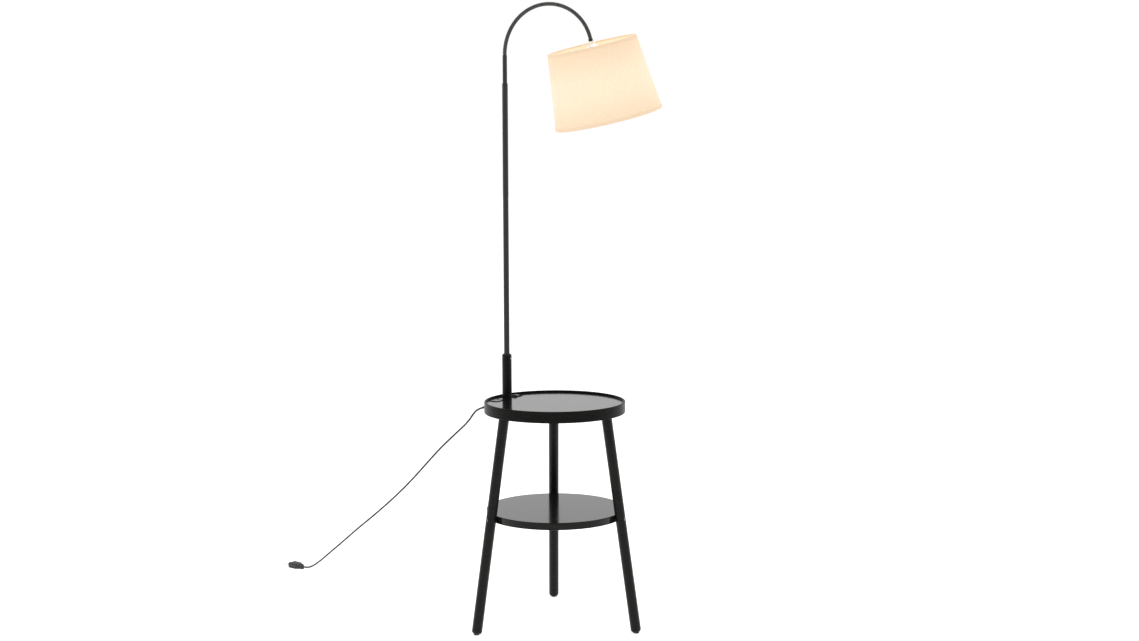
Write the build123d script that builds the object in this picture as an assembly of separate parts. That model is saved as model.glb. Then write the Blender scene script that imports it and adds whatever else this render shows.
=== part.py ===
"""Shelf floor lamp: a round three-legged side table with a lower shelf, and a
reading lamp on a pole that rises from the tabletop.

Millimetres, +Z up. The origin is on the floor, on the axis of the round tabletop.
The front of the table faces -Y; the rear leg stands at azimuth 90 degrees.
"""
from math import asin, atan2, cos, degrees, hypot, pi, radians, sin, tan
import os

from build123d import *

os.makedirs("parts", exist_ok=True)

# ---------------------------------------------------------------- driving sizes
# Table
table_radius = 175.0
rim_height = 28.0
rim_thickness = 5.0
rim_top_z = 560.0
rim_edge_round = 1.6
tray_depth = 5.0
panel_thickness = 9.0

# Legs: round, turned, splayed outwards
leg_diameter = 25.6
leg_azimuths = (90.0, 210.0, 330.0)
leg_splay = 84.0              # how much farther out a leg's axis is at the floor than at its top
leg_end_round = 8.0
plate_side = 46.0
plate_rim_gap = 5.0           # leg plate to the rim's inner face
plate_thickness = 2.0
plate_corner = 5.0
plate_screw_pitch = 34.0
boss_diameter = 16.0
boss_height = 5.0
boss_recess_diameter = 20.0
boss_recess_depth = 6.5
hanger_bolt_diameter = 8.0
hanger_bolt_depth = 36.0
glide_diameter = 14.0
glide_thickness = 2.5
glide_pin_diameter = 3.0
glide_pin_length = 9.0

# Shelf
shelf_edge_overlap = 1.84     # how far the shelf's edge passes the legs' inner faces
shelf_leg_gap = 0.5           # around the legs, where they pass the shelf's edge
shelf_bottom_z = 272.0
shelf_thickness = 18.0
shelf_edge_round = 1.5
shelf_bolt_diameter = 6.0
shelf_bolt_head_diameter = 9.0
shelf_bolt_head_height = 2.6
shelf_bolt_head_drop = 0.4    # below the crest of the leg's side
shelf_bolt_hex = 4.0
barrel_nut_diameter = 10.0
barrel_nut_height = 12.0
barrel_nut_inset = 22.0       # barrel nut axis to the shelf's edge

# Pole socket, on the tray
pole_azimuth = 147.0
pole_edge_distance = 33.5     # pole axis to the tabletop's edge
socket_diameter = 24.3
socket_height = 113.5         # above the tray
socket_seat = 1.0             # how deep the socket's foot is let into the tray
socket_shoulder = 3.5
socket_bore = 17.4
socket_spigot_diameter = 20.0
socket_spigot_length = 20.0
socket_nut_across = 27.0
socket_nut_height = 6.0
socket_washer_diameter = 32.0
socket_washer_thickness = 1.6
bush_length = 22.0
seat_height = 14.0
seat_floor = 4.0
set_screw_diameter = 4.0
set_screw_drop = 12.0         # set screw axis below the socket's top

# Pole and neck
pole_diameter = 14.0
pole_wall = 1.2
pole_foot_gap = 0.2
lower_pole_length = 781.8     # from its foot to the step where the upper tube starts
upper_tube_diameter = 11.0
upper_tube_wall = 1.0
coupling_length = 44.0
coupling_lip = 2.0
lead_diameter = 5.0
lead_clearance = 0.4
arm_azimuth = 22.5            # direction in which the neck arches over
neck_rise = 71.0              # from the step to the neck's first hinge
neck_diameter = 9.8
neck_groove_depth = 0.55
neck_bore = 6.4
neck_sweep = 165.6
neck_radius_start = 134.0
neck_radius_end = 106.0
neck_links = 8
ribs_per_link = 14
neck_gap = 0.74               # between neighbouring links
spigot_diameter = 5.7
spigot_bore = 4.4
spigot_reach = 1.2
spigot_root = 2.0
ferrule_diameter = 11.0
lower_ferrule_length = 22.0
upper_ferrule_length = 7.0

# Lampholder and bulb, measured down from the end of the neck
holder_cap_length = 31.0
holder_cap_neck_diameter = 15.0
holder_cap_diameter = 40.0
holder_shoulder_diameter = 43.0
holder_shoulder_height = 5.0
holder_shell_diameter = 38.5
holder_shell_wall = 2.2
holder_shell_length = 30.0
shade_nut_diameter = 52.0
shade_nut_height = 8.0
contact_diameter = 30.0
contact_height = 6.0
bulb_cap_diameter = 26.4
bulb_cap_length = 25.0
bulb_diameter = 60.0
bulb_length = 108.0
bulb_neck_diameter = 27.0
bulb_wall = 1.0
bulb_cap_wall = 1.0

# Shade
shade_top_radius = 115.0
shade_bottom_radius = 139.0
shade_length = 191.7
shade_drop = 15.9             # top edge of the shade below the end of the neck
shade_fabric = 0.7
shade_liner = 0.5
shade_trim = 0.4
shade_trim_height = 7.0
shade_wire_diameter = 3.2
spider_hub_diameter = 60.0
spider_hub_thickness = 1.6
spider_arms = 3

# Outlets let into the tray, either side of the pole
module_length = 30.0
module_width = 24.0
module_corner = 3.0
bezel_height = 1.2            # above the tray
bezel_seat = 0.8              # let into the tray
body_inset = 2.0
module_depth = 22.0
usb_offset = 48.0             # along the tray's edge, from the pole's axis
switch_offset = -38.0
usb_a_size = (13.0, 5.4)
usb_c_size = (9.2, 3.5)
usb_port_pitch = 11.0
rocker_length = 20.0
rocker_width = 14.0
rocker_tilt = 7.0
rocker_rise = 1.6
rocker_pin_diameter = 2.6
rocker_pin_length = 1.6

# Electrical box under the tray
box_depth = 30.0
box_wall = 2.0
box_corner = 6.0
box_inner_side = -22.0        # towards the table's centre, from the pole's axis
box_outer_side = 19.6
box_rim_gap = 3.5             # between the box and the rim
box_ends = (-56.0, 64.0)
lug_diameter = 10.0
lug_thickness = 3.0
lug_places = (-14.0, 5.0)     # screw lugs along each end of the box
vent_count = 5
vent_pitch = 6.0
vent_size = (20.0, 2.0)
vent_start = -40.0
terminal_size = (14.0, 24.0, 12.0)
terminal_hole_diameter = 3.6
terminal_pitch = 7.5
wire_diameter = 3.0

# Mains cord
cord_diameter = 5.0
exit_offset = 27.376          # sideways from the pole, along the rim
exit_drop = 22.0              # below the rim's top
exit_dip = 18.0               # downward tilt of the strain relief
relief_neck_diameter = 7.6
relief_tip_diameter = 6.0
relief_length = 24.0
relief_collar_diameter = 9.0
relief_collar_length = 3.0
relief_collar_gap = 2.2       # between the collar and the rim's inner face
relief_gap = 0.2              # around the strain relief in the rim
clamp_size = (8.0, 14.0, 8.6)
cord_lead_out = 14.0          # straight run of cord past the strain relief's tip
plug_place = (-701.6, 535.0)  # cord end of the plug, on the floor
plug_length = 35.0
plug_neck_length = 14.0
plug_neck_width = 8.0
plug_width = 26.0
plug_height = 14.0
plug_pin_diameter = 4.0
plug_pin_length = 19.0
plug_pin_pitch = 18.6
plug_pin_root = 9.0           # length of pin held inside the plug

# Screws
wood_screw_diameter = 3.4
wood_screw_head = 6.6
wood_screw_length = 8.6
small_screw_diameter = 2.6
small_screw_head = 5.0
small_screw_length = 8.0

# Clearances
glue_gap = 0.1                # glued or screwed wood and metal
thread_gap = 0.1              # screw to its hole, radially
turn_gap = 0.06               # shaft in its bush, radially
slip_gap = 0.3                # parts that pass by each other
cut_margin = 20.0             # how far a cut runs on past what it cuts

# ---------------------------------------------------------------- derived places
rim_bottom_z = rim_top_z - rim_height
rim_inner_radius = table_radius - rim_thickness
tray_z = rim_top_z - tray_depth
panel_bottom_z = tray_z - panel_thickness
leg_top_z = panel_bottom_z - plate_thickness
leg_top_radius = rim_inner_radius - plate_rim_gap - plate_side / 2
leg_foot_radius = leg_top_radius + leg_splay
leg_tilt = degrees(atan2(leg_splay, leg_top_z))
leg_length = hypot(leg_splay, leg_top_z)
leg_radius = leg_diameter / 2
pole_offset = table_radius - pole_edge_distance
socket_top_z = tray_z + socket_height
pole_foot_z = tray_z + seat_floor + pole_foot_gap
pole_joint_z = pole_foot_z + lower_pole_length
neck_start_z = pole_joint_z + neck_rise
exit_azimuth = pole_azimuth + degrees(asin(exit_offset / table_radius))
exit_z = rim_top_z - exit_drop
shelf_top_z = shelf_bottom_z + shelf_thickness
shelf_mid_z = shelf_bottom_z + shelf_thickness / 2
box_bottom_z = panel_bottom_z - box_depth
box_floor_z = box_bottom_z + box_wall

BOTTOM = (Align.CENTER, Align.CENTER, Align.MIN)
TOP = (Align.CENTER, Align.CENTER, Align.MAX)
pole_place = Rot(0, 0, pole_azimuth) * Pos(pole_offset, 0, 0)


def on_pole(x, y, z):
    """Place by the pole: x away from the table's centre, y along the rim, z height."""
    return pole_place * Pos(x, y, z)


def ring(outer, inner, z0, z1):
    """Upright tube between two heights, given its diameters."""
    return Pos(0, 0, z0) * (Cylinder(outer / 2, z1 - z0, align=BOTTOM)
                            - Cylinder(inner / 2, z1 - z0, align=BOTTOM))


def disc(diameter, z0, z1):
    return Pos(0, 0, z0) * Cylinder(diameter / 2, z1 - z0, align=BOTTOM)


def rounded_block(length_x, length_y, corner, z0, z1):
    outline = RectangleRounded(length_x, length_y, corner)
    return Pos(0, 0, z0) * extrude(outline, z1 - z0)


def tube_along(points, radii, diameter):
    """Round bar along straight runs joined by tangent arcs."""
    path = FilletPolyline(*points, radius=radii)
    start = Plane(origin=path @ 0, z_dir=path % 0)
    return sweep(start * Circle(diameter / 2), path=path)


def countersunk_screw(diameter, head, length):
    """Screw pointing up from z = 0, with its countersunk head at the bottom."""
    cone_height = (head - diameter) / 2
    body = Cylinder(diameter / 2, length, align=BOTTOM)
    cone = Cone(head / 2, diameter / 2, cone_height, align=BOTTOM)
    slot = Box(head * 0.7, 0.8, 0.8, align=BOTTOM) + Box(0.8, head * 0.7, 0.8, align=BOTTOM)
    return body + cone - slot


def countersunk_hole(diameter, head, length):
    """Room for the screw above, with its clearance."""
    cone_height = (head - diameter) / 2
    reach = Pos(0, 0, -0.5) * Cylinder(diameter / 2 + thread_gap, length + 0.5, align=BOTTOM)
    cone = Cone(head / 2 + thread_gap, diameter / 2 + thread_gap, cone_height, align=BOTTOM)
    return reach + cone


# ---------------------------------------------------------------- legs and their plates
def leg_plane(azimuth):
    """Plane at the leg's foot: z along the leg's axis, x away from the table's centre."""
    a = radians(azimuth)
    outward = Vector(cos(a), sin(a), 0)
    axis = Vector(-cos(a) * leg_splay, -sin(a) * leg_splay, leg_top_z)
    foot = outward * leg_foot_radius
    side = Vector(0, 0, 1).cross(outward)
    return Plane(origin=foot, x_dir=side.cross(axis), z_dir=axis)


def leg_bar(azimuth, diameter):
    """Round bar on the leg's axis, longer than the leg at both ends."""
    return leg_plane(azimuth) * Pos(0, 0, -cut_margin) * Cylinder(
        diameter / 2, leg_length + 2 * cut_margin, align=BOTTOM)


def leg_axis_radius(z):
    return leg_foot_radius - leg_splay * z / leg_top_z


leg_half_width = leg_radius / cos(radians(leg_tilt))
leg_outer_face = leg_axis_radius(shelf_mid_z) + leg_half_width
shelf_radius = leg_axis_radius(shelf_mid_z) - leg_half_width + shelf_edge_overlap
bolt_seat_radius = leg_outer_face - shelf_bolt_head_drop - shelf_bolt_head_height
barrel_radius = shelf_radius - barrel_nut_inset
plate_screw_spots = [(x * plate_screw_pitch / 2, y * plate_screw_pitch / 2)
                     for x in (-1, 1) for y in (-1, 1)]


def at_azimuth(azimuth, radius, z):
    return Rot(0, 0, azimuth) * Pos(radius, 0, z)


def radial_bar(azimuth, diameter, r0, r1, z):
    """Level round bar pointing away from the table's centre."""
    return at_azimuth(azimuth, r0, z) * Rot(0, 90, 0) * Cylinder(diameter / 2, r1 - r0, align=BOTTOM)


def leg(azimuth):
    plane = leg_plane(azimuth)
    end_z = glide_thickness - 0.7
    bar = Pos(0, 0, end_z) * Cylinder(leg_radius, leg_length + cut_margin, align=BOTTOM)
    bar = fillet(bar.edges().sort_by(Axis.Z)[0], leg_end_round)
    bar = plane * bar
    side = 2 * leg_diameter + cut_margin
    bar -= at_azimuth(azimuth, leg_top_radius, leg_top_z) * Box(side, side, 2 * cut_margin, align=BOTTOM)
    bar -= at_azimuth(azimuth, leg_foot_radius, glide_thickness) * Box(side, side, cut_margin, align=TOP)
    bar -= plane * Pos(0, 0, leg_length - hanger_bolt_depth - 1) * Cylinder(
        hanger_bolt_diameter / 2 + thread_gap, hanger_bolt_depth + cut_margin, align=BOTTOM)
    past_leg = leg_outer_face + cut_margin
    bar -= radial_bar(azimuth, shelf_bolt_diameter + 2 * thread_gap, barrel_radius, past_leg, shelf_mid_z)
    bar -= radial_bar(azimuth, shelf_bolt_head_diameter + 2 * slip_gap, bolt_seat_radius, past_leg,
                      shelf_mid_z)
    bar -= at_azimuth(azimuth, leg_foot_radius, glide_thickness - 1) * Cylinder(
        glide_pin_diameter / 2 + thread_gap, glide_pin_length + 1.5, align=BOTTOM)
    return bar


def hanger_bolt(azimuth):
    reach = plate_thickness + boss_height - 0.5
    return leg_plane(azimuth) * Pos(0, 0, leg_length - hanger_bolt_depth) * Cylinder(
        hanger_bolt_diameter / 2, hanger_bolt_depth + reach, align=BOTTOM)


def leg_plate(azimuth):
    place = at_azimuth(azimuth, leg_top_radius, leg_top_z)
    plate = place * rounded_block(plate_side, plate_side, plate_corner, 0, plate_thickness)
    boss = leg_plane(azimuth) * Pos(0, 0, leg_length) * Cylinder(
        boss_diameter / 2, plate_thickness + boss_height, align=BOTTOM)
    boss -= place * Box(plate_side, plate_side, cut_margin, align=TOP)
    plate += boss
    plate -= leg_bar(azimuth, hanger_bolt_diameter + 2 * thread_gap)
    for x, y in plate_screw_spots:
        plate -= place * Pos(x, y, 0) * countersunk_hole(wood_screw_diameter, wood_screw_head,
                                                        wood_screw_length)
    return plate


def plate_screws(azimuth):
    place = at_azimuth(azimuth, leg_top_radius, leg_top_z)
    screw = countersunk_screw(wood_screw_diameter, wood_screw_head, wood_screw_length)
    return [place * Pos(x, y, 0) * screw for x, y in plate_screw_spots]


def glide(azimuth):
    place = at_azimuth(azimuth, leg_foot_radius, 0)
    pad = Cylinder(glide_diameter / 2, glide_thickness, align=BOTTOM)
    pad = fillet(pad.edges().sort_by(Axis.Z)[0], 0.6)
    pin = Pos(0, 0, glide_thickness) * Cylinder(glide_pin_diameter / 2, glide_pin_length - 1, align=BOTTOM)
    return place * (pad + pin)


# ---------------------------------------------------------------- tray and rim
def module_outline(inset):
    return RectangleRounded(module_width - 2 * inset, module_length - 2 * inset,
                            max(module_corner - inset, 0.5))


def box_lug_spots():
    spots = []
    for end, sign in zip(box_ends, (-1, 1)):
        for x in lug_places:
            spots.append((x, end + sign * (lug_diameter / 2 - 1.5)))
    return spots


def relief_plane():
    """Plane at the cord's exit: z points out along the strain relief."""
    a = radians(exit_azimuth)
    dip = radians(exit_dip)
    z_dir = Vector(cos(a) * cos(dip), sin(a) * cos(dip), -sin(dip))
    origin = Vector(table_radius * cos(a), table_radius * sin(a), exit_z)
    return Plane(origin=origin, x_dir=(-sin(a), cos(a), 0), z_dir=z_dir)


relief_inner_end = -rim_thickness - relief_collar_gap - relief_collar_length
lead_start = (relief_plane() * Pos(0, 0, relief_inner_end)).position
lead_turn = (relief_plane() * Pos(0, 0, relief_inner_end - 2.8)).position
lead_z = lead_turn.Z
clamp_x = 10.6
clamp_y = (pole_place.inverse() * Pos(lead_turn)).position.Y
clamp_screw_y = 4.9


def table_panel():
    panel = disc(2 * (rim_inner_radius - glue_gap), panel_bottom_z, tray_z)
    panel -= on_pole(0, 0, panel_bottom_z - 1) * Cylinder(
        socket_spigot_diameter / 2 + glue_gap, panel_thickness + 2, align=BOTTOM)
    panel -= on_pole(0, 0, tray_z - socket_seat) * Cylinder(
        socket_diameter / 2 + glue_gap, socket_seat + 1, align=BOTTOM)
    for offset in (usb_offset, switch_offset):
        hole = extrude(module_outline(body_inset - glue_gap), panel_thickness + 2)
        panel -= on_pole(0, offset, panel_bottom_z - 1) * hole
        rebate = extrude(module_outline(-glue_gap), bezel_seat + 1)
        panel -= on_pole(0, offset, tray_z - bezel_seat) * rebate
    for azimuth in leg_azimuths:
        panel -= at_azimuth(azimuth, leg_top_radius, panel_bottom_z) * Cylinder(
            boss_recess_diameter / 2, boss_recess_depth, align=BOTTOM)
        for x, y in plate_screw_spots:
            panel -= at_azimuth(azimuth, leg_top_radius, leg_top_z) * Pos(x, y, 0) * countersunk_hole(
                wood_screw_diameter, wood_screw_head, wood_screw_length + 0.2)
    for x, y in box_lug_spots():
        panel -= on_pole(x, y, panel_bottom_z - 1) * Cylinder(
            small_screw_diameter / 2 + thread_gap, small_screw_length - lug_thickness + 1.5, align=BOTTOM)
    for side in (-1, 1):
        panel -= on_pole(clamp_x, clamp_y + side * clamp_screw_y, panel_bottom_z - 1) * Cylinder(
            small_screw_diameter / 2 + thread_gap, 7.0, align=BOTTOM)
    return panel


def table_rim():
    rim = ring(2 * table_radius, 2 * rim_inner_radius, rim_bottom_z, rim_top_z)
    rim = fillet(rim.edges().filter_by(GeomType.CIRCLE), rim_edge_round)
    rim -= relief_plane() * Pos(0, 0, -cut_margin) * Cylinder(
        relief_neck_diameter / 2 + relief_gap, 2 * cut_margin, align=BOTTOM)
    return rim


# ---------------------------------------------------------------- shelf and its bolts
def shelf():
    board = disc(2 * shelf_radius, shelf_bottom_z, shelf_top_z)
    board = fillet(board.edges().filter_by(GeomType.CIRCLE), shelf_edge_round)
    for azimuth in leg_azimuths:
        board -= leg_bar(azimuth, leg_diameter + 2 * shelf_leg_gap)
        board -= radial_bar(azimuth, shelf_bolt_diameter + 2 * thread_gap,
                            barrel_radius - 8, shelf_radius + 5, shelf_mid_z)
        board -= at_azimuth(azimuth, barrel_radius, shelf_bottom_z - 1) * Cylinder(
            barrel_nut_diameter / 2 + thread_gap,
            1 + shelf_thickness / 2 + barrel_nut_height / 2 + 0.2, align=BOTTOM)
    return board


def shelf_bolt(azimuth):
    shank = radial_bar(azimuth, shelf_bolt_diameter, barrel_radius - 6, bolt_seat_radius + 0.5, shelf_mid_z)
    head = Cylinder(shelf_bolt_head_diameter / 2, shelf_bolt_head_height, align=BOTTOM)
    head = fillet(head.edges().sort_by(Axis.Z)[-1], 0.8)
    head -= Pos(0, 0, shelf_bolt_head_height - 1.8) * extrude(
        RegularPolygon(shelf_bolt_hex / 2, 6, major_radius=False), 3)
    return shank + at_azimuth(azimuth, bolt_seat_radius, shelf_mid_z) * Rot(0, 90, 0) * head


def barrel_nut(azimuth):
    nut = at_azimuth(azimuth, barrel_radius, shelf_mid_z - barrel_nut_height / 2) * Cylinder(
        barrel_nut_diameter / 2, barrel_nut_height, align=BOTTOM)
    return nut - radial_bar(azimuth, shelf_bolt_diameter + 2 * thread_gap, barrel_radius - cut_margin,
                            barrel_radius + cut_margin, shelf_mid_z)


# ---------------------------------------------------------------- pole socket
def socket_tube():
    tube = disc(socket_diameter, tray_z - socket_seat, socket_top_z)
    tube = chamfer(tube.edges().sort_by(Axis.Z)[-1], socket_shoulder * 0.75, socket_shoulder)
    tube += disc(socket_spigot_diameter, tray_z - socket_spigot_length, tray_z)
    tube -= disc(socket_bore, tray_z, socket_top_z + 1)
    tube -= disc(lead_diameter + 2 * lead_clearance + 4, tray_z - socket_spigot_length - 1, tray_z + 1)
    screw_z = socket_top_z - set_screw_drop
    for turn in (0, 180):
        tube -= Pos(0, 0, screw_z) * Rot(0, 0, turn) * Rot(0, 90, 0) * Cylinder(
            set_screw_diameter / 2 + thread_gap, 30, align=BOTTOM)
    return on_pole(0, 0, 0) * tube


def socket_bush():
    bush = ring(socket_bore - 2 * glue_gap, pole_diameter + 2 * turn_gap,
                socket_top_z - bush_length, socket_top_z)
    return on_pole(0, 0, 0) * bush


def pole_seat():
    seat = disc(socket_bore - 2 * glue_gap, tray_z, tray_z + seat_height)
    seat -= disc(pole_diameter + 2 * turn_gap, tray_z + seat_floor, tray_z + seat_height + 1)
    seat -= disc(lead_diameter + 2 * lead_clearance, tray_z - 1, tray_z + seat_height)
    return on_pole(0, 0, 0) * seat


def set_screws():
    """Two cup-point screws that hold the nylon bush in the socket."""
    screws = []
    outer = socket_diameter / 2 - 0.3
    inner = socket_bore / 2 - glue_gap + 0.02
    for turn in (0, 180):
        screw = Pos(inner, 0, 0) * Rot(0, 90, 0) * Cylinder(set_screw_diameter / 2, outer - inner, align=BOTTOM)
        hexagon = extrude(RegularPolygon(1.0, 6, major_radius=False), 1.5)
        screw -= Pos(outer - 1.4, 0, 0) * Rot(0, 90, 0) * hexagon
        screws.append(on_pole(0, 0, socket_top_z - set_screw_drop) * Rot(0, 0, turn) * screw)
    return screws


def socket_washer():
    washer = ring(socket_washer_diameter, socket_spigot_diameter + 2 * slip_gap,
                  panel_bottom_z - socket_washer_thickness, panel_bottom_z)
    return on_pole(0, 0, 0) * washer


def socket_nut():
    top = panel_bottom_z - socket_washer_thickness
    nut = Pos(0, 0, top - socket_nut_height) * extrude(
        RegularPolygon(socket_nut_across / 2, 6, major_radius=False), socket_nut_height)
    nut -= disc(socket_spigot_diameter + 2 * thread_gap, top - socket_nut_height - 1, top + 1)
    return on_pole(0, 0, 0) * nut


# ---------------------------------------------------------------- pole
pole_bore = pole_diameter - 2 * pole_wall
upper_tube_bore = upper_tube_diameter - 2 * upper_tube_wall
upper_tube_foot_z = pole_joint_z - coupling_length / 2
ferrule_top_z = neck_start_z - neck_gap / 2
ferrule_foot_z = ferrule_top_z - lower_ferrule_length


def lower_pole():
    return on_pole(0, 0, 0) * ring(pole_diameter, pole_bore, pole_foot_z, pole_joint_z)


def pole_coupling():
    """Turned sleeve in the lower pole's mouth that the upper tube sits in."""
    sleeve = disc(pole_bore - 2 * glue_gap, pole_joint_z - coupling_length, pole_joint_z)
    lip = disc(pole_diameter - 1.0, pole_joint_z, pole_joint_z + coupling_lip)
    sleeve += chamfer(lip.edges().sort_by(Axis.Z)[-1], 0.5)
    sleeve -= disc(lead_diameter + 2 * lead_clearance, 0, pole_joint_z + 10)
    sleeve -= disc(upper_tube_diameter + 2 * glue_gap, upper_tube_foot_z, pole_joint_z + 10)
    return on_pole(0, 0, 0) * sleeve


def upper_tube():
    return on_pole(0, 0, 0) * ring(upper_tube_diameter, upper_tube_bore, upper_tube_foot_z, ferrule_foot_z)


def pole_lead():
    foot = box_floor_z + terminal_size[2] + slip_gap
    return on_pole(0, 0, 0) * disc(lead_diameter, foot, ferrule_foot_z + 4)


# ---------------------------------------------------------------- flexible neck
arm = radians(arm_azimuth)
arm_forward = Vector(cos(arm), sin(arm), 0)
arm_side = Vector(-sin(arm), cos(arm), 0)
pole_centre = (on_pole(0, 0, 0)).position
link_radii = [neck_radius_start + (neck_radius_end - neck_radius_start) * (i + 0.5) / neck_links
              for i in range(neck_links)]
link_length = radians(neck_sweep) / sum(1 / r for r in link_radii)


def neck_stations():
    """Hinge points along the neck: distance out from the pole, height, lean from upright."""
    stations = [(0.0, neck_start_z, 0.0)]
    for r in link_radii:
        out, z, lean = stations[-1]
        centre_out = out + r * cos(lean)
        centre_z = z - r * sin(lean)
        lean += link_length / r
        stations.append((centre_out - r * cos(lean), centre_z + r * sin(lean), lean))
    return stations


def neck_plane(out, z, lean):
    origin = pole_centre + arm_forward * out + Vector(0, 0, z)
    return Plane(origin=origin, x_dir=arm_side, z_dir=arm_forward * sin(lean) + Vector(0, 0, cos(lean)))


stations = neck_stations()


def link_plane(i, s):
    """Plane across link i, at arc length s from its first hinge."""
    out, z, lean = stations[i]
    r = link_radii[i]
    centre_out = out + r * cos(lean)
    centre_z = z - r * sin(lean)
    lean += s / r
    return neck_plane(centre_out - r * cos(lean), centre_z + r * sin(lean), lean)


def spigot(plane):
    """Liner stub that bridges the gap at a hinge and guides the next link."""
    reach = neck_gap + spigot_reach
    return plane * Pos(0, 0, -neck_gap / 2 - spigot_root) * Cylinder(
        spigot_diameter / 2, reach + spigot_root, align=BOTTOM)


def spigot_hole(plane):
    return plane * Pos(0, 0, -neck_gap / 2 - spigot_root - 1) * Cylinder(
        spigot_bore / 2, spigot_root + neck_gap + spigot_reach + 3, align=BOTTOM)


def neck_link(i):
    """Ribbed bend: each rib is a groove, two crests and a groove."""
    pitch = (link_length - neck_gap) / ribs_per_link
    groove = neck_diameter / 2 - neck_groove_depth
    crest = neck_diameter / 2
    rib = [(0.0, groove), (0.22, crest), (0.62, crest), (0.84, groove)]
    sections = []
    for k in range(ribs_per_link):
        for share, radius in rib:
            sections.append((neck_gap / 2 + (k + share) * pitch, radius))
    sections.append((link_length - neck_gap / 2, groove))
    body = loft([link_plane(i, s) * Circle(radius) for s, radius in sections], ruled=True)
    bore_end = link_length - neck_gap / 2 - spigot_root
    steps = 6
    cuts = [link_plane(i, -0.2 + (bore_end + 0.2) * k / steps) * Circle(neck_bore / 2)
            for k in range(steps + 1)]
    body -= loft(cuts, ruled=True)
    end = link_plane(i, link_length)
    return body + spigot(end) - spigot_hole(end)


def lower_ferrule():
    sleeve = ring(ferrule_diameter, lead_diameter + 2 * lead_clearance,
                  ferrule_foot_z, ferrule_top_z - spigot_root)
    sleeve += ring(ferrule_diameter, spigot_bore, ferrule_top_z - spigot_root, ferrule_top_z)
    sleeve = on_pole(0, 0, 0) * sleeve
    stub = neck_plane(*stations[0])
    return sleeve + spigot(stub) - spigot_hole(stub)


# ---------------------------------------------------------------- lampholder, bulb and shade
head_plane = neck_plane(*stations[-1])
cap_top = upper_ferrule_length
cap_bottom = cap_top + holder_cap_length
hub_top = cap_bottom + 0.05
hub_bottom = hub_top + spider_hub_thickness
shell_end = cap_bottom + holder_shell_length
contact_top = cap_bottom + 4.0
bulb_top = contact_top + contact_height + 0.1
shade_bottom = shade_drop + shade_length


def on_head(shape):
    """From a frame with z down along the lampholder's axis, 0 at the neck's end."""
    return head_plane * shape


def turned(points):
    """Solid of revolution from (radius, z) corners."""
    face = make_face(Polyline(*[(r, 0, z) for r, z in points], close=True))
    return revolve(face, Axis.Z)


def upper_ferrule():
    return on_head(ring(ferrule_diameter, neck_bore, neck_gap / 2, upper_ferrule_length))


def lampholder_cap():
    neck = holder_cap_neck_diameter / 2
    wide = holder_cap_diameter / 2
    shoulder = holder_shoulder_diameter / 2
    wall = 2.0
    inner = holder_shell_diameter / 2 + slip_gap
    low = cap_bottom - holder_shoulder_height
    outline = [(neck_bore / 2, cap_top), (neck, cap_top), (neck, cap_top + 7), (neck + 4, cap_top + 10),
               (wide, low - 8), (wide, low), (shoulder, low), (shoulder, cap_bottom), (inner, cap_bottom),
               (inner, cap_bottom - 10), (wide - wall, cap_bottom - 10), (wide - wall, low - 8 + wall),
               (neck + 2, cap_top + 13), (neck_bore / 2, cap_top + 13)]
    return on_head(turned(outline))


def lampholder_shell():
    shell = ring(holder_shell_diameter, holder_shell_diameter - 2 * holder_shell_wall,
                 cap_bottom - 9.8, shell_end)
    for k in range(5):
        groove_z = cap_bottom + 4 + 3 * k
        shell -= ring(holder_shell_diameter + 2, holder_shell_diameter - 1.2, groove_z, groove_z + 1)
    return on_head(shell)


def lampholder_contact():
    inner = holder_shell_diameter - 2 * holder_shell_wall - 2 * glue_gap
    base = disc(inner, cap_bottom - 6, contact_top)
    base += disc(contact_diameter - 4, contact_top, contact_top + contact_height - 3)
    base += disc(8, contact_top + contact_height - 3, contact_top + contact_height)
    return on_head(base)


def shade_nut():
    nut = ring(shade_nut_diameter, holder_shell_diameter + 2 * slip_gap,
               hub_bottom + 0.05, hub_bottom + 0.05 + shade_nut_height)
    return on_head(nut)


def shade_radius(z):
    """Outside of the fabric at a distance z down the lampholder's axis."""
    share = (z - shade_drop) / shade_length
    return shade_top_radius + (shade_bottom_radius - shade_top_radius) * share


def cone_shell(z0, z1, outside, thickness):
    """Wall of the shade between two heights; outside is measured from the fabric's face."""
    corners = [(shade_radius(z0) + outside, z0), (shade_radius(z1) + outside, z1),
               (shade_radius(z1) + outside - thickness, z1), (shade_radius(z0) + outside - thickness, z0)]
    return on_head(turned(corners))


liner_outside = -shade_fabric - 0.05
wire_inset = shade_fabric + 0.05 + shade_liner + 0.15 + shade_wire_diameter / 2
top_wire_z = shade_drop + shade_wire_diameter / 2 + 0.4
bottom_wire_z = shade_bottom - shade_wire_diameter / 2 - 0.4


def wire_ring(z):
    return Pos(0, 0, z) * Torus(shade_radius(z) - wire_inset, shade_wire_diameter / 2)


def shade_spider():
    hub = ring(spider_hub_diameter, holder_shell_diameter + 2 * slip_gap, hub_top, hub_bottom)
    top_ring = wire_ring(top_wire_z)
    hub_reach = spider_hub_diameter / 2 - shade_wire_diameter / 2
    rim_reach = shade_radius(top_wire_z) - wire_inset
    hub_mid = (hub_top + hub_bottom) / 2
    lean = degrees(atan2(rim_reach - hub_reach, top_wire_z - hub_mid))
    length = hypot(rim_reach - hub_reach, top_wire_z - hub_mid)
    frame = hub + top_ring
    for k in range(spider_arms):
        arm_bar = Pos(hub_reach, 0, hub_mid) * Rot(0, lean, 0) * Cylinder(
            shade_wire_diameter / 2, length, align=BOTTOM)
        frame += Rot(0, 0, 360 / spider_arms * k + 30) * arm_bar
    return on_head(frame)


def shade_trims():
    top = cone_shell(shade_drop, shade_drop + shade_trim_height, shade_trim + 0.05, shade_trim)
    bottom = cone_shell(shade_bottom - shade_trim_height, shade_bottom, shade_trim + 0.05, shade_trim)
    return [top, bottom]


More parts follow.
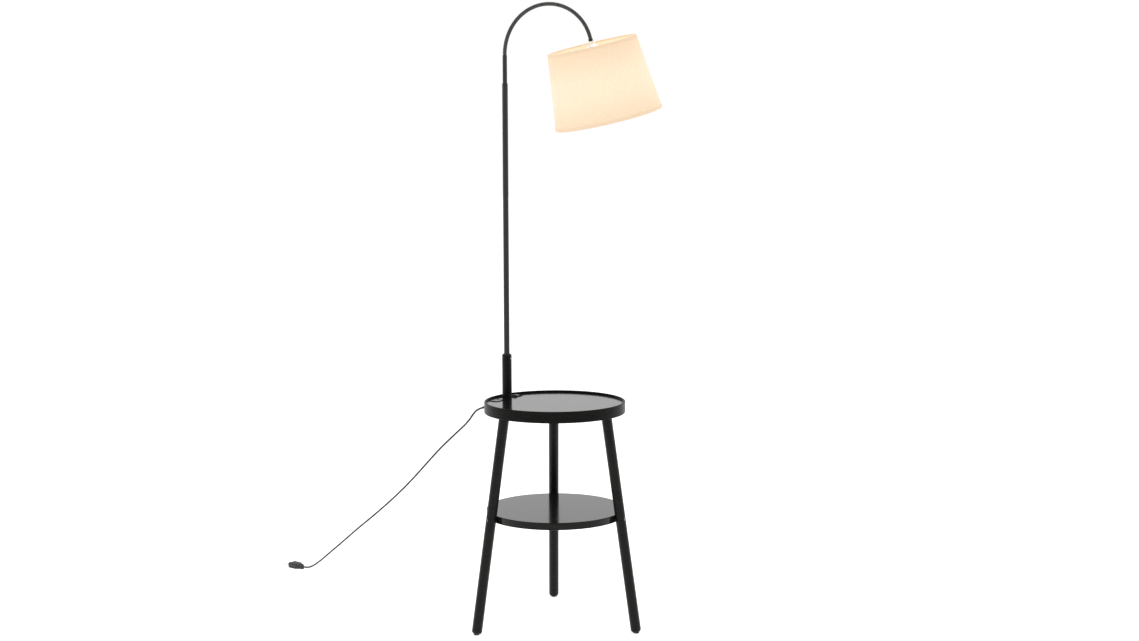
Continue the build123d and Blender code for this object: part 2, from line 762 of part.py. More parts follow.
def bulb_cap():
    cap = disc(bulb_cap_diameter, bulb_top, bulb_top + bulb_cap_length)
    inside = disc(bulb_cap_diameter - 2 * bulb_cap_wall, bulb_top + bulb_cap_wall, bulb_top + 40)
    return on_head(cap - inside)


def pear(inset):
    """Pear-shaped solid, drawn in by the inset: a neck that flares into a round end."""
    r = bulb_diameter / 2 - inset
    neck = bulb_neck_diameter / 2 - inset
    start = bulb_top + bulb_cap_length + 0.05 + inset
    centre = bulb_top + bulb_length - bulb_diameter / 2
    join = radians(20)
    meet = (r * cos(join), centre - r * sin(join))
    side = Spline((neck, start), (neck + 3.5, start + 14), meet, tangents=((0, 1), (sin(join), cos(join))))
    end = ThreePointArc(meet, (r * cos(join), centre + r * sin(join)), (0, centre + r))
    face = make_face([Line((0, start), (neck, start)), side, end, Line((0, centre + r), (0, start))])
    return on_head(Rot(90, 0, 0) * revolve(face, Axis.Y))


def bulb_glass():
    return pear(0) - pear(bulb_wall)


# ---------------------------------------------------------------- outlets in the tray
def bezel(opening):
    plate = Pos(0, 0, -bezel_seat) * extrude(module_outline(0), bezel_seat + bezel_height)
    plate = chamfer(plate.faces().sort_by(Axis.Z)[-1].edges(), 0.5)
    return plate - Pos(0, 0, -bezel_seat - 1) * opening


def usb_face():
    opening = Pos(0, -usb_port_pitch / 2, 0) * Box(usb_a_size[1], usb_a_size[0], 6, align=BOTTOM)
    opening += Pos(0, usb_port_pitch / 2 + 2, 0) * extrude(
        RectangleRounded(usb_c_size[1], usb_c_size[0], usb_c_size[1] / 2 - 0.05), 6)
    return on_pole(0, usb_offset, tray_z) * bezel(opening)


def usb_ports():
    """Metal port shells with the tongue inside each."""
    depth = 7.0
    top = bezel_height - 0.3
    wall = 0.4
    a = Box(usb_a_size[1] - 0.2, usb_a_size[0] - 0.2, depth, align=TOP)
    a -= Pos(0, 0, 1) * Box(usb_a_size[1] - 0.2 - 2 * wall, usb_a_size[0] - 0.2 - 2 * wall, depth, align=TOP)
    a += Pos(-0.9, 0, -1) * Box(1.6, usb_a_size[0] - 2.4, depth - 1, align=TOP)
    c_out = RectangleRounded(usb_c_size[1] - 0.2, usb_c_size[0] - 0.2, usb_c_size[1] / 2 - 0.15)
    c_in = RectangleRounded(usb_c_size[1] - 1.0, usb_c_size[0] - 1.0, usb_c_size[1] / 2 - 0.55)
    c = Pos(0, 0, -depth) * extrude(c_out, depth) - Pos(0, 0, 1 - depth) * extrude(c_in, depth)
    c += Pos(0, 0, -1) * Box(0.7, usb_c_size[0] - 2.4, depth - 1, align=TOP)
    return [on_pole(0, usb_offset - usb_port_pitch / 2, tray_z + top) * a,
            on_pole(0, usb_offset + usb_port_pitch / 2 + 2, tray_z + top) * c]


def module_body():
    outline = module_outline(body_inset)
    return Pos(0, 0, -module_depth) * extrude(outline, module_depth - bezel_seat)


def usb_body():
    body = module_body()
    pocket = 6.3
    body -= Pos(0, -usb_port_pitch / 2, 0) * Box(usb_a_size[1] + 0.2, usb_a_size[0] + 0.2, pocket, align=TOP)
    body -= Pos(0, usb_port_pitch / 2 + 2, -pocket) * extrude(
        RectangleRounded(usb_c_size[1] + 0.2, usb_c_size[0] + 0.2, usb_c_size[1] / 2), pocket)
    return on_pole(0, usb_offset, tray_z) * body


pivot_drop = 2.5              # rocker pivot below the tray


def switch_bezel():
    opening = Box(rocker_width + 2 * slip_gap, rocker_length + 4 * slip_gap, 6, align=BOTTOM)
    return on_pole(0, switch_offset, tray_z) * bezel(opening)


def switch_body():
    body = module_body()
    body -= Box(rocker_width + 2 * slip_gap, rocker_length + 4 * slip_gap, 8, align=TOP)
    body -= Pos(0, 0, -pivot_drop) * Rot(0, 90, 0) * Cylinder(
        rocker_pin_diameter / 2 + turn_gap, rocker_width + 2 * rocker_pin_length + 2 * slip_gap)
    return on_pole(0, switch_offset, tray_z) * body


def switch_rocker():
    """Two-wing rocker on its pins, lying with one wing pressed."""
    half = rocker_length / 2
    rise = half * tan(radians(rocker_tilt))
    low = bezel_height + rocker_rise - rise
    outline = Polyline((-half, -4.5 + rise), (0, -5.0), (half, -4.5 + rise), (half, low + 2 * rise),
                       (0, low + rise * 0.55), (-half, low + 2 * rise), close=True)
    key = extrude(Plane.YZ * make_face(outline), rocker_width / 2, both=True)
    key = fillet(key.edges().filter_by(Axis.X).sort_by(Axis.Z)[-2:], 0.6)
    key += Pos(0, 0, -pivot_drop) * Rot(0, 90, 0) * Cylinder(
        rocker_pin_diameter / 2, rocker_width + 2 * rocker_pin_length)
    key = Pos(0, 0, -pivot_drop) * Rot(rocker_tilt, 0, 0) * Pos(0, 0, pivot_drop) * key
    return on_pole(0, switch_offset, tray_z) * key


# ---------------------------------------------------------------- electrical box
def box_shape(shrink, z0, z1):
    """Rounded box below the pole, its outer side following the rim."""
    width = box_outer_side - box_inner_side - 2 * shrink
    length = box_ends[1] - box_ends[0] - 2 * shrink
    centre_x = (box_outer_side + box_inner_side) / 2
    centre_y = (box_ends[0] + box_ends[1]) / 2
    block = Pos(centre_x, centre_y, 0) * rounded_block(width, length, box_corner - shrink, z0, z1)
    limit = rim_inner_radius - box_rim_gap - shrink
    return block & Pos(-pole_offset, 0, 0) * disc(2 * limit, z0, z1)


def electrics_box():
    shell = box_shape(0, box_bottom_z, panel_bottom_z)
    for x, y in box_lug_spots():
        shell += Pos(x, y, 0) * disc(lug_diameter, panel_bottom_z - lug_thickness, panel_bottom_z)
    shell -= box_shape(box_wall, box_floor_z, panel_bottom_z + 1)
    for x, y in box_lug_spots():
        shell -= Pos(x, y, panel_bottom_z - lug_thickness) * countersunk_hole(
            small_screw_diameter, small_screw_head, small_screw_length)
    middle = (box_outer_side + box_inner_side) / 2
    for k in range(vent_count):
        shell -= Pos(middle, vent_start + vent_pitch * k, box_bottom_z - 1) * Box(
            vent_size[0], vent_size[1], box_wall + 2, align=BOTTOM)
    shell = on_pole(0, 0, 0) * shell
    return shell - relief_plane() * Pos(0, 0, relief_inner_end - 50) * Cylinder(
        cord_diameter / 2 + 1.2, 50.5, align=BOTTOM)


def box_screws():
    screw = countersunk_screw(small_screw_diameter, small_screw_head, small_screw_length)
    return [on_pole(x, y, panel_bottom_z - lug_thickness) * screw for x, y in box_lug_spots()]


def terminal_block():
    x, y, z = terminal_size
    block = Box(x, y, z, align=BOTTOM)
    block = fillet(block.edges().filter_by(Axis.Z), 1.0)
    for k in (-1, 0, 1):
        block -= Pos(-x / 4, terminal_pitch * k, z - 3) * Cylinder(
            terminal_hole_diameter / 2, 3, align=BOTTOM)
    return on_pole(0, 0, box_floor_z) * block


# ---------------------------------------------------------------- leads inside the box
def local_point(x, y, z):
    return tuple((on_pole(x, y, z)).position)


def inner_lead():
    """From the strain relief's inner end, under the clamp, down to the terminals."""
    points = [tuple(lead_start), tuple(lead_turn),
              local_point(0, clamp_y, lead_z),
              local_point(0, clamp_y, box_floor_z + 6),
              local_point(0, terminal_size[1] / 2, box_floor_z + 6)]
    return tube_along(points, (9, 6.3, 6.3), cord_diameter)


def cord_clamp():
    x, y, z = clamp_size
    bar = Box(x, y, z, align=TOP)
    bar = fillet(bar.edges().filter_by(Axis.X).sort_by(Axis.Z)[:2], 1.5)
    bar -= Pos(0, 0, lead_z - panel_bottom_z) * Rot(0, 90, 0) * Cylinder(
        cord_diameter / 2 + 0.15, x + 2)
    for side in (-1, 1):
        bar -= Pos(0, side * clamp_screw_y, -z - 1) * Cylinder(small_screw_diameter / 2 + thread_gap, z + 2,
                                                              align=BOTTOM)
    return on_pole(clamp_x, clamp_y, panel_bottom_z) * bar


def clamp_screws():
    z = clamp_size[2]
    screws = []
    for side in (-1, 1):
        shank = Pos(0, 0, -z) * Cylinder(small_screw_diameter / 2, z + 5.5, align=BOTTOM)
        head = Pos(0, 0, -z) * Cylinder(2.1, 1.6, align=TOP)
        screws.append(on_pole(clamp_x, clamp_y + side * clamp_screw_y, panel_bottom_z) * (shank + head))
    return screws


def box_wires():
    """Short wires from the terminals to the charger and the switch."""
    usb_low = tray_z - module_depth
    to_usb = [local_point(-4, terminal_size[1] / 2, box_floor_z + 8.5),
              local_point(-4, usb_offset - 2, box_floor_z + 8.5),
              local_point(-4, usb_offset - 2, usb_low)]
    to_switch = [local_point(-2, -terminal_size[1] / 2, box_floor_z + 6),
                 local_point(-2, switch_offset, box_floor_z + 6),
                 local_point(-2, switch_offset, usb_low)]
    return [tube_along(to_usb, (4.5,), wire_diameter), tube_along(to_switch, (5,), wire_diameter)]


# ---------------------------------------------------------------- mains cord and plug
def strain_relief():
    neck = relief_neck_diameter / 2
    tip = relief_tip_diameter / 2
    inside = -rim_thickness - relief_collar_gap
    collar = Pos(0, 0, inside - relief_collar_length) * Cylinder(relief_collar_diameter / 2,
                                                                relief_collar_length, align=BOTTOM)
    through = Pos(0, 0, inside) * Cylinder(neck, -inside + 2.5, align=BOTTOM)
    taper = Pos(0, 0, 2.5) * Cone(neck, tip, relief_length - 2.5, align=BOTTOM)
    relief = collar + through + taper
    for k in range(4):
        z = 6 + 4 * k
        relief -= Pos(0, 0, z) * (Cylinder(neck + 1, 1.4, align=BOTTOM)
                                  - Cylinder(tip - 0.1, 1.4, align=BOTTOM))
    return relief_plane() * relief


relief_tip = (relief_plane() * Pos(0, 0, relief_length)).position


# The cord's route from the strain relief's tip to the plug, as shares of the way in x, y and z
cord_route = [(0.04469, 0.03308, 0.03167), (0.07387, 0.07356, 0.08038), (0.14260, 0.14242, 0.15295),
              (0.21171, 0.21129, 0.22553), (0.28217, 0.28169, 0.31071), (0.35820, 0.35803, 0.40411),
              (0.43480, 0.43415, 0.49101), (0.51121, 0.51049, 0.57027), (0.59127, 0.59057, 0.64915),
              (0.67363, 0.67307, 0.72593), (0.75311, 0.75250, 0.80614), (0.83278, 0.83214, 0.88350),
              (0.90478, 0.90452, 0.95416), (0.94893, 0.94852, 0.98854)]
plug_lead_in = (11.6, -10.2)  # last bend of the cord before the plug, on the floor


def mains_cord_points():
    """Nearly taut from the strain relief to the plug on the floor, with a slight sag."""
    first = (relief_plane() * Pos(0, 0, relief_length + cord_lead_out)).position
    end = Vector(plug_place[0], plug_place[1], plug_height / 2)
    way = end - relief_tip
    points = [tuple(relief_tip), tuple(first)]
    points += [(relief_tip.X + way.X * x, relief_tip.Y + way.Y * y, relief_tip.Z + way.Z * z)
               for x, y, z in cord_route]
    return points + [tuple(end + Vector(*plug_lead_in, 0)), tuple(end)]


def corner_radii(points):
    """For each corner, 0.45 of the shorter run over the tangent of half the turn."""
    vectors = [Vector(*b) - Vector(*a) for a, b in zip(points, points[1:])]
    radii = []
    for before, after in zip(vectors, vectors[1:]):
        turn = radians(before.get_angle(after))
        radii.append(0.45 * min(before.length, after.length) / tan(turn / 2))
    return radii


cord_points = mains_cord_points()
cord_radii = corner_radii(cord_points)


def mains_cord():
    return tube_along(cord_points, cord_radii, cord_diameter)


def plug_plane():
    """Plane at the cord's end: x points out of the plug towards its pins, z up."""
    last, end = Vector(*cord_points[-2]), Vector(*cord_points[-1])
    along = end - last
    return Plane(origin=(end.X, end.Y, 0), x_dir=(along.X, along.Y, 0), z_dir=(0, 0, 1))


def plug_body():
    """Flat moulded plug, its cord end drawn in to a ribbed neck."""
    neck = plug_neck_width / 2
    flare = plug_neck_length * 0.6
    side = plug_width / 2
    front = plug_neck_length + plug_length
    outline = Polyline((0, -neck), (flare, -neck - 0.5), (plug_neck_length + 6, -side), (front, -side),
                       (front, side), (plug_neck_length + 6, side), (flare, neck + 0.5), (0, neck), close=True)
    body = extrude(make_face(outline), plug_height)
    body = fillet(body.edges().filter_by(Axis.Z), 2.0)
    body = fillet(body.faces().sort_by(Axis.Z)[-1].edges(), 2.0)
    for sign in (-1, 1):
        body -= Pos(front, sign * plug_pin_pitch / 2, plug_height / 2) * Rot(0, -90, 0) * Cylinder(
            plug_pin_diameter / 2 + thread_gap, plug_pin_root + 1, align=BOTTOM)
    return plug_plane() * body


def plug_pins():
    root = plug_neck_length + plug_length - plug_pin_root
    pin = Cylinder(plug_pin_diameter / 2, plug_pin_length + plug_pin_root, align=BOTTOM)
    pin = fillet(pin.edges().sort_by(Axis.Z)[-1], 1.4)
    return [plug_plane() * Pos(root, sign * plug_pin_pitch / 2, plug_height / 2) * Rot(0, 90, 0) * pin
            for sign in (-1, 1)]


# ---------------------------------------------------------------- every sub-part
def group(shapes):
    """Like pieces that stay separate solids in one node."""
    solids = []
    for shape in shapes:
        solids += list(shape) if isinstance(shape, (list, tuple)) else [shape]
    return Compound(children=[s.solid() if hasattr(s, "solid") else s for s in solids])


nodes = {
    "table_panel": table_panel(),
    "table_rim": table_rim(),
    "leg_rear": leg(leg_azimuths[0]),
    "leg_front_left": leg(leg_azimuths[1]),
    "leg_front_right": leg(leg_azimuths[2]),
    "leg_plates": group(leg_plate(a) for a in leg_azimuths),
    "plate_screws": group(plate_screws(a) for a in leg_azimuths),
    "hanger_bolts": group(hanger_bolt(a) for a in leg_azimuths),
    "foot_glides": group(glide(a) for a in leg_azimuths),
    "shelf": shelf(),
    "shelf_bolts": group(shelf_bolt(a) for a in leg_azimuths),
    "barrel_nuts": group(barrel_nut(a) for a in leg_azimuths),
    "electrics_box": electrics_box(),
    "box_screws": group(box_screws()),
    "terminal_block": terminal_block(),
    "box_wires": group(box_wires()),
    "inner_lead": inner_lead(),
    "cord_clamp": cord_clamp(),
    "clamp_screws": group(clamp_screws()),
    "usb_body": usb_body(),
    "usb_face": usb_face(),
    "usb_ports": group(usb_ports()),
    "switch_body": switch_body(),
    "switch_bezel": switch_bezel(),
    "switch_rocker": switch_rocker(),
    "strain_relief": strain_relief(),
    "mains_cord": mains_cord(),
    "plug_body": plug_body(),
    "plug_pins": group(plug_pins()),
    "socket_tube": socket_tube(),
    "socket_nut": socket_nut(),
    "socket_washer": socket_washer(),
    "socket_bush": socket_bush(),
    "pole_seat": pole_seat(),
    "set_screws": group(set_screws()),
    "lower_pole": lower_pole(),
    "pole_coupling": pole_coupling(),
    "upper_tube": upper_tube(),
    "pole_lead": pole_lead(),
    "lower_ferrule": lower_ferrule(),
    "upper_ferrule": upper_ferrule(),
    "lampholder_cap": lampholder_cap(),
    "lampholder_shell": lampholder_shell(),
    "lampholder_contact": lampholder_contact(),
    "shade_nut": shade_nut(),
    "shade_spider": shade_spider(),
    "shade_bottom_ring": on_head(wire_ring(bottom_wire_z)),
    "shade_liner": cone_shell(shade_drop, shade_bottom, liner_outside, shade_liner),
    "shade_fabric": cone_shell(shade_drop, shade_bottom, 0, shade_fabric),
    "shade_trims": group(shade_trims()),
    "bulb_cap": bulb_cap(),
    "bulb_glass": bulb_glass(),
}
for link in range(neck_links):
    nodes[f"neck_link_{link + 1}"] = neck_link(link)

for name, shape in nodes.items():
    export_step(shape, f"parts/{name}.step")

print("pole axis", [round(v, 2) for v in pole_centre])
print("neck hinges", [[round(v, 2) for v in neck_plane(*s).origin] for s in stations])
print("neck hinge axis", [round(v, 5) for v in -arm_side])
print("link length", round(link_length, 2), "rib pitch", round((link_length - neck_gap) / ribs_per_link, 3))
print("rocker pivot", [round(v, 3) for v in on_pole(0, switch_offset, tray_z - pivot_drop).position])
print("cord radii", [round(r) for r in cord_radii])
cord_path = FilletPolyline(*cord_points, radius=cord_radii)
print("cord length", round(cord_path.length, 1), "volume over section times length",
      round(nodes["mains_cord"].volume / (pi * cord_diameter ** 2 / 4 * cord_path.length), 4))
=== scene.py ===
"""Looks of the shelf floor lamp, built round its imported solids.

Metres, +Z up. The origin is on the floor below the middle of the round tabletop.
"""
from math import atan2, cos, pi, radians, sin

import bpy
import numpy as np
from mathutils import Matrix


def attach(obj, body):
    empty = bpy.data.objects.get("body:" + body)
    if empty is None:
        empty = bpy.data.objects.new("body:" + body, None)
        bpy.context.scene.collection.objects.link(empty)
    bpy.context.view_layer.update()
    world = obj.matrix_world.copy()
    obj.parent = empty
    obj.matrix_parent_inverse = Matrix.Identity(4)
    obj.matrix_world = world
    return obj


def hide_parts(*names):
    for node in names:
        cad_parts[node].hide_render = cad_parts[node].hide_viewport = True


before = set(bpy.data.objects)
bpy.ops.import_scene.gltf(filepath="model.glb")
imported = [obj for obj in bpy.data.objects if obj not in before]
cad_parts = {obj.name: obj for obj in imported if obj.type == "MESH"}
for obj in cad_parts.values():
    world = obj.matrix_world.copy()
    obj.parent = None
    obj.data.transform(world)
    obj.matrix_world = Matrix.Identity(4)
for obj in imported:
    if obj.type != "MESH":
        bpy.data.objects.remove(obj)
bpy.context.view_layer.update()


# ------------------------------------------------------------------ viewpoint
# The lamp is seen from four metres in front, from about the height of a
# standing person's chest, looking slightly down.
camera_data = bpy.data.cameras.new("viewpoint")
camera_data.sensor_width = 36.0
camera_data.lens = 53.106
camera_data.clip_end = 200.0
viewpoint = bpy.data.objects.new("viewpoint", camera_data)
viewpoint.matrix_world = (
    Matrix.Translation((-0.0786, -4.1218, 1.2105))
    @ Matrix.Rotation(radians(-1.61), 4, "Z")
    @ Matrix.Rotation(pi / 2 - 0.1089, 4, "X")
    @ Matrix.Rotation(-0.003, 4, "Z")
)
bpy.context.scene.collection.objects.link(viewpoint)
bpy.context.scene.camera = viewpoint
bpy.context.scene.view_settings.view_transform = "Standard"


# ------------------------------------------------------------------ mains cord
# Round flexible lead with a dull dark grey sheath. It leaves the table under
# its rim and runs nearly taut, with a slight sag, down to its plug on the floor.
def new_finish(name):
    """A finish with its node tree and its surface shader."""
    finish = bpy.data.materials.new(name)
    finish.use_nodes = True
    return finish, finish.node_tree, finish.node_tree.nodes["Principled BSDF"]


def add(tree, kind, inputs=(), **settings):
    """One node of the given kind, with its settings and the values of its sockets."""
    made = tree.nodes.new("ShaderNode" + kind)
    for key, value in settings.items():
        setattr(made, key, value)
    for key, value in dict(inputs).items():
        made.inputs[key].default_value = value
    return made


def object_space(tree, scale=(1, 1, 1), turn=(0, 0, 0)):
    """Object coordinates, turned and stretched by a mapping."""
    source = add(tree, "TexCoord")
    mapping = add(tree, "Mapping", {"Scale": scale, "Rotation": turn})
    tree.links.new(source.outputs["Object"], mapping.inputs["Vector"])
    return mapping.outputs["Vector"]


def noise(tree, vector, scale, detail=3.0, roughness=0.5, distortion=0.0):
    """Grey noise, 0 to 1, over a vector."""
    made = add(tree, "TexNoise", {"Scale": scale, "Detail": detail, "Roughness": roughness,
                                  "Distortion": distortion})
    tree.links.new(vector, made.inputs["Vector"])
    return made.outputs["Fac"]


def spread(tree, value, low, high, into=(0.25, 0.75)):
    """Carries a value from one span linearly into another."""
    made = add(tree, "MapRange", {"From Min": into[0], "From Max": into[1], "To Min": low, "To Max": high})
    tree.links.new(value, made.inputs["Value"])
    return made.outputs["Result"]


def blend_colours(tree, share, dark, light):
    """Colour between two, by a share from 0 to 1."""
    made = add(tree, "Mix", data_type="RGBA")
    made.inputs[6].default_value = (*dark, 1)
    made.inputs[7].default_value = (*light, 1)
    tree.links.new(share, made.inputs[0])
    return made.outputs[2]


def relief(tree, shader, height, distance, strength=1.0, under=None):
    """Surface relief from a height, in metres, over any relief already there."""
    made = add(tree, "Bump", {"Strength": strength, "Distance": distance})
    tree.links.new(height, made.inputs["Height"])
    if under is not None:
        tree.links.new(under, made.inputs["Normal"])
    tree.links.new(made.outputs["Normal"], shader.inputs["Normal"])
    return made.outputs["Normal"]


def paint(finish, *names):
    """Gives solids of the frame a finish."""
    for name in names:
        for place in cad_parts[name].material_slots:
            place.material = finish


cord_diameter = 0.005
cord_route = [
    (-0.180722, 0.080463, 0.530584), (-0.192886, 0.085879, 0.526257), (-0.2040, 0.0955, 0.5140),
    (-0.2192, 0.1139, 0.4885), (-0.2550, 0.1452, 0.4505), (-0.2910, 0.1765, 0.4125),
    (-0.3277, 0.2085, 0.3679), (-0.3673, 0.2432, 0.3190), (-0.4072, 0.2778, 0.2735),
    (-0.4470, 0.3125, 0.2320), (-0.4887, 0.3489, 0.1907), (-0.5316, 0.3864, 0.1505),
    (-0.5730, 0.4225, 0.1085), (-0.6145, 0.4587, 0.0680), (-0.6520, 0.4916, 0.0310),
    (-0.6750, 0.5116, 0.0130), (-0.6900, 0.5248, 0.0070), (-0.7016, 0.5350, 0.0070),
]

cord_sheath, tree, shader = new_finish("cord_sheath")
coarse = noise(tree, object_space(tree), 60, 3)
tree.links.new(blend_colours(tree, coarse, (0.012, 0.012, 0.012), (0.022, 0.022, 0.021)),
               shader.inputs["Base Color"])
tree.links.new(spread(tree, coarse, 0.5, 0.62), shader.inputs["Roughness"])
relief(tree, shader, noise(tree, object_space(tree), 2200, 2), 0.00004, 0.4)

cord_curve = bpy.data.curves.new("mains_lead", "CURVE")
cord_curve.dimensions = "3D"
spline = cord_curve.splines.new("NURBS")
spline.points.add(len(cord_route) - 1)
for place, at in zip(spline.points, cord_route):
    place.co = (*at, 1)
spline.order_u = 3
spline.use_endpoint_u = True
spline.resolution_u = 8
cord_curve.bevel_depth = cord_diameter / 2
cord_curve.bevel_resolution = 5
cord_curve.use_fill_caps = True
cord_curve.materials.append(cord_sheath)
mains_lead = bpy.data.objects.new("mains_lead", cord_curve)
bpy.context.scene.collection.objects.link(mains_lead)
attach(mains_lead, "table")
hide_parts("mains_cord")
paint(cord_sheath, "strain_relief", "plug_body", "inner_lead", "box_wires", "pole_lead")


# ------------------------------------------------------------------ studio
# Plain white floor, white surroundings that are dimmer high up on the viewer's
# side, and large soft lamps. None of it is part of the lamp.
floor_half = 30.0
floor_mesh = bpy.data.meshes.new("studio_floor")
floor_mesh.from_pydata([(-floor_half, -floor_half, 0), (floor_half, -floor_half, 0),
                        (floor_half, floor_half, 0), (-floor_half, floor_half, 0)], [], [(0, 1, 2, 3)])
studio_floor = bpy.data.objects.new("studio_floor", floor_mesh)
bpy.context.scene.collection.objects.link(studio_floor)
floor_finish, tree, shader = new_finish("studio_floor")
shader.inputs["Base Color"].default_value = (0.82, 0.82, 0.82, 1)
shader.inputs["Roughness"].default_value = 0.8
shader.inputs["Specular IOR Level"].default_value = 0.1
shader.inputs["Emission Color"].default_value = (1, 1, 1, 1)
shader.inputs["Emission Strength"].default_value = 0.65
floor_mesh.materials.append(floor_finish)

surroundings = bpy.data.worlds.new("surroundings")
surroundings.use_nodes = True
tree = surroundings.node_tree
glow = tree.nodes["Background"]
glow.inputs["Color"].default_value = (1, 1, 1, 1)
facing = add(tree, "SeparateXYZ")
tree.links.new(add(tree, "TexCoord").outputs["Generated"], facing.inputs[0])
brighter = add(tree, "Math", operation="MAXIMUM")
tree.links.new(spread(tree, facing.outputs["Y"], 0.50, 1.0, (-0.5, 0.85)), brighter.inputs[0])
tree.links.new(spread(tree, facing.outputs["Z"], 1.0, 0.0, (0.19, 0.45)), brighter.inputs[1])
tree.links.new(brighter.outputs[0], glow.inputs["Strength"])
bpy.context.scene.world = surroundings


def soft_lamp(name, at, towards, size, power):
    """Square soft light at one point, facing another."""
    data = bpy.data.lights.new(name, "AREA")
    data.size = size
    data.energy = power
    lamp = bpy.data.objects.new(name, data)
    aim = np.subtract(towards, at)
    yaw = atan2(aim[1], aim[0])
    pitch = atan2(aim[2], np.hypot(aim[0], aim[1]))
    lamp.matrix_world = (Matrix.Translation(at) @ Matrix.Rotation(yaw - pi / 2, 4, "Z")
                         @ Matrix.Rotation(pi / 2 + pitch, 4, "X"))
    bpy.context.scene.collection.objects.link(lamp)


soft_lamp("left_softbox", (-3.0, -1.6, 2.4), (0, 0.1, 0.8), 1.8, 34)
soft_lamp("right_softbox", (3.1, -1.4, 2.2), (0, 0.1, 0.8), 1.6, 24)
soft_lamp("top_softbox", (0.0, 0.6, 3.8), (0, 0.1, 0.0), 2.4, 50)


# ------------------------------------------------------------------ legs
# Three round turned legs of solid wood, splayed outwards, lacquered satin
# black so that the grain only just shows along each leg.
def black_lacquer(name, turn, grain_scale=26.0, rough=0.34, depth=1.0):
    """Thin black lacquer over wood whose grain runs along the turned x axis, dull seen square on."""
    finish, tree, shader = new_finish(name)
    along = object_space(tree, (1, 11, 11), turn)
    figure = noise(tree, along, grain_scale, 7, 0.62, 0.5)
    pores = noise(tree, object_space(tree, (1, 22, 22), turn), 95, 3, 0.6)
    tree.links.new(blend_colours(tree, spread(tree, figure, 0, 1, (0.3, 0.7)),
                                 (0.0026, 0.0025, 0.0023), (0.0110, 0.0104, 0.0094)),
                   shader.inputs["Base Color"])
    tree.links.new(spread(tree, figure, rough - 0.05, rough + 0.07), shader.inputs["Roughness"])
    first = relief(tree, shader, pores, 0.00012 * depth, 0.35)
    relief(tree, shader, figure, 0.0004 * depth, 0.25, first)
    shader.inputs["Specular Tint"].default_value = (0.24, 0.24, 0.24, 1)
    return finish


leg_top_radius, leg_foot_radius, leg_rise = 0.142, 0.226, 0.544
leg_tilt = atan2(leg_foot_radius - leg_top_radius, leg_rise)
for name, azimuth in (("leg_rear", 90), ("leg_front_left", 210), ("leg_front_right", 330)):
    paint(black_lacquer(name + "_lacquer", (0, pi / 2 + leg_tilt, -radians(azimuth))), name)


# ------------------------------------------------------------------ leg fittings
# Zinc-plated plates, screws and hanger bolts fix the legs under the top, and
# darkened bolts sunk in the legs hold the shelf. The feet are black nylon glides.
def plated(name, colour, rough=0.32):
    """Plated steel with the fine uneven gloss of a barrel finish."""
    finish, tree, shader = new_finish(name)
    shader.inputs["Metallic"].default_value = 1.0
    cloud = noise(tree, object_space(tree), 180, 4, 0.6)
    tree.links.new(blend_colours(tree, cloud, tuple(c * 0.8 for c in colour), colour),
                   shader.inputs["Base Color"])
    tree.links.new(spread(tree, cloud, rough - 0.07, rough + 0.1), shader.inputs["Roughness"])
    relief(tree, shader, noise(tree, object_space(tree), 3000, 2), 0.00002, 0.3)
    return finish


def moulded(name, colour, rough, grain=0.35):
    """Moulded plastic with a fine sparked texture."""
    finish, tree, shader = new_finish(name)
    cloud = noise(tree, object_space(tree), 90, 3)
    tree.links.new(blend_colours(tree, cloud, tuple(c * 0.88 for c in colour), colour),
                   shader.inputs["Base Color"])
    tree.links.new(spread(tree, cloud, rough - 0.04, rough + 0.04), shader.inputs["Roughness"])
    relief(tree, shader, noise(tree, object_space(tree), 2600, 3, 0.6), 0.00003, grain)
    return finish


zinc = plated("zinc_plate", (0.62, 0.63, 0.64))
nickel = plated("nickel_plate", (0.78, 0.76, 0.72), 0.24)
dark_zinc = plated("dark_zinc_plate", (0.20, 0.20, 0.20), 0.38)
paint(zinc, "leg_plates", "plate_screws", "hanger_bolts", "barrel_nuts")
paint(dark_zinc, "shelf_bolts")
paint(nickel, "plug_pins")
paint(moulded("nylon_glides", (0.02, 0.02, 0.02), 0.5), "foot_glides")


# ------------------------------------------------------------------ shelf, top and rim
# Veneered boards in the same black lacquer, their grain running across the
# front. The rim is a bent hoop glued round the top, its grain going round.
paint(black_lacquer("board_lacquer", (0, 0, radians(4)), grain_scale=20.0, rough=0.12, depth=0.2),
      "shelf", "table_panel")

rim_radius = 0.175
rim_lacquer, tree, shader = new_finish("rim_lacquer")
parts = add(tree, "SeparateXYZ")
tree.links.new(add(tree, "TexCoord").outputs["Object"], parts.inputs[0])
azimuth = add(tree, "Math", operation="ARCTAN2")
tree.links.new(parts.outputs["Y"], azimuth.inputs[0])
tree.links.new(parts.outputs["X"], azimuth.inputs[1])
arc = add(tree, "Math", {1: rim_radius}, operation="MULTIPLY")
tree.links.new(azimuth.outputs[0], arc.inputs[0])
around = add(tree, "CombineXYZ")
tree.links.new(arc.outputs[0], around.inputs["X"])
tree.links.new(parts.outputs["Z"], around.inputs["Y"])
stretch = add(tree, "Mapping", {"Scale": (1, 12, 12)})
tree.links.new(around.outputs[0], stretch.inputs["Vector"])
figure = noise(tree, stretch.outputs[0], 24, 7, 0.62, 0.4)
tree.links.new(blend_colours(tree, spread(tree, figure, 0, 1, (0.3, 0.7)),
                             (0.0018, 0.0017, 0.0016), (0.0080, 0.0075, 0.0068)),
               shader.inputs["Base Color"])
tree.links.new(spread(tree, figure, 0.28, 0.38), shader.inputs["Roughness"])
shader.inputs["Specular IOR Level"].default_value = 0.06
relief(tree, shader, figure, 0.0004, 0.25)
paint(rim_lacquer, "table_rim")


